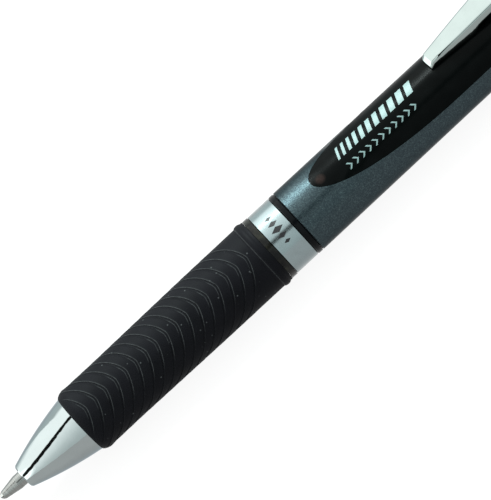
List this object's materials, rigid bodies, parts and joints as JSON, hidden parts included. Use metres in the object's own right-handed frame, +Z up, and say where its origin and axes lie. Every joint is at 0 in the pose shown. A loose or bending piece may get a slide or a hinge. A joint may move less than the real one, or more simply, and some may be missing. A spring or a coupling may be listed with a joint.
{
  "type": "retractable gel pen",
  "caption": "Click-action gel pen lying on its side, tip out: chromed cone, grooved rubber grip, metallic grey barrel with a black inlay, sprung clip, push button.",
  "frame": {"origin": "under the middle of the pen's length with the tip out, on the surface that the pen lies on", "axes": "+X along the pen's axis from the writing tip to the push button, +Z up through the clip, +Y across the pen"},
  "size_m": [0.141, 0.0118, 0.0147],
  "materials": {
    "carbide": "polished ball",
    "point_steel": "fine turned steel",
    "clear_plastic": "translucent natural plastic",
    "ink": "black gel ink",
    "grease": "clear grease",
    "white_plastic": "natural acetal",
    "spring_steel": "drawn wire",
    "nose_chrome": "mirror plating",
    "smoke_plastic": "smoky clear plastic",
    "grip_rubber": "soft black rubber",
    "band_metal": "satin silver",
    "dark_plastic": "dark gloss",
    "grey_paint": "metallic grey paint under clear coat",
    "black_gloss": "black gloss",
    "button_chrome": "silver plating on plastic",
    "cap_chrome": "mirror plating",
    "clip_chrome": "mirror plating on sheet steel"
  },
  "bodies": {
    "barrel": {"barrel": "grey_paint", "accent_inlay": "black_gloss", "tail_cap": "cap_chrome", "cam_sleeve": "white_plastic"},
    "front_section": {"nose_cone": "nose_chrome", "front_barrel": "smoke_plastic", "grip": "grip_rubber", "trim_band": "band_metal", "band_retainer": "dark_plastic", "return_spring": "spring_steel"},
    "refill": {"point": "point_steel", "tip_holder": "clear_plastic", "refill_tube": "clear_plastic", "ink": "ink", "ink_follower": "grease", "refill_plug": "white_plastic"},
    "ball": {"ball": "carbide"},
    "rotor": {"rotor": "white_plastic"},
    "button": {"button": "button_chrome", "plunger": "white_plastic"},
    "clip": {"clip": "clip_chrome"}
  },
  "joints": [
    {"name": "button_press", "type": "slide", "parent": "barrel", "child": "button", "axis": [-1, 0, 0], "range_m": [-0.0055, 0.001], "deforming": ["return_spring"]},
    {"name": "refill_slide", "type": "slide", "parent": "barrel", "child": "refill", "axis": [-1, 0, 0], "range_m": [-0.0055, 0.001]},
    {"name": "rotor_turn", "type": "hinge", "parent": "refill", "child": "rotor", "pos_m": [0.0425, 0, 0.00587], "axis": [1, 0, 0], "range_deg": [-45.1, 8.3]},
    {"name": "ball_roll", "type": "hinge", "parent": "refill", "child": "ball", "pos_m": [-0.07015, 0, 0.00587], "axis": [0, 1, 0], "continuous": true},
    {"name": "clip_flex", "type": "hinge", "parent": "barrel", "child": "clip", "pos_m": [0.0601, 0, 0.01047], "axis": [0, 1, 0], "range_deg": [0, 5], "stiffness_Nm_per_rad": 1.5},
    {"name": "front_section_off", "type": "slide", "parent": "barrel", "child": "front_section", "axis": [-1, 0, 0], "range_m": [0, 0.07]}
  ],
  "couplings": [
    {"joint": "refill_slide", "follows": "button_press", "ratio": 1},
    {"joint": "rotor_turn", "follows": "button_press", "rad_per_m": 142.8}
  ]
}
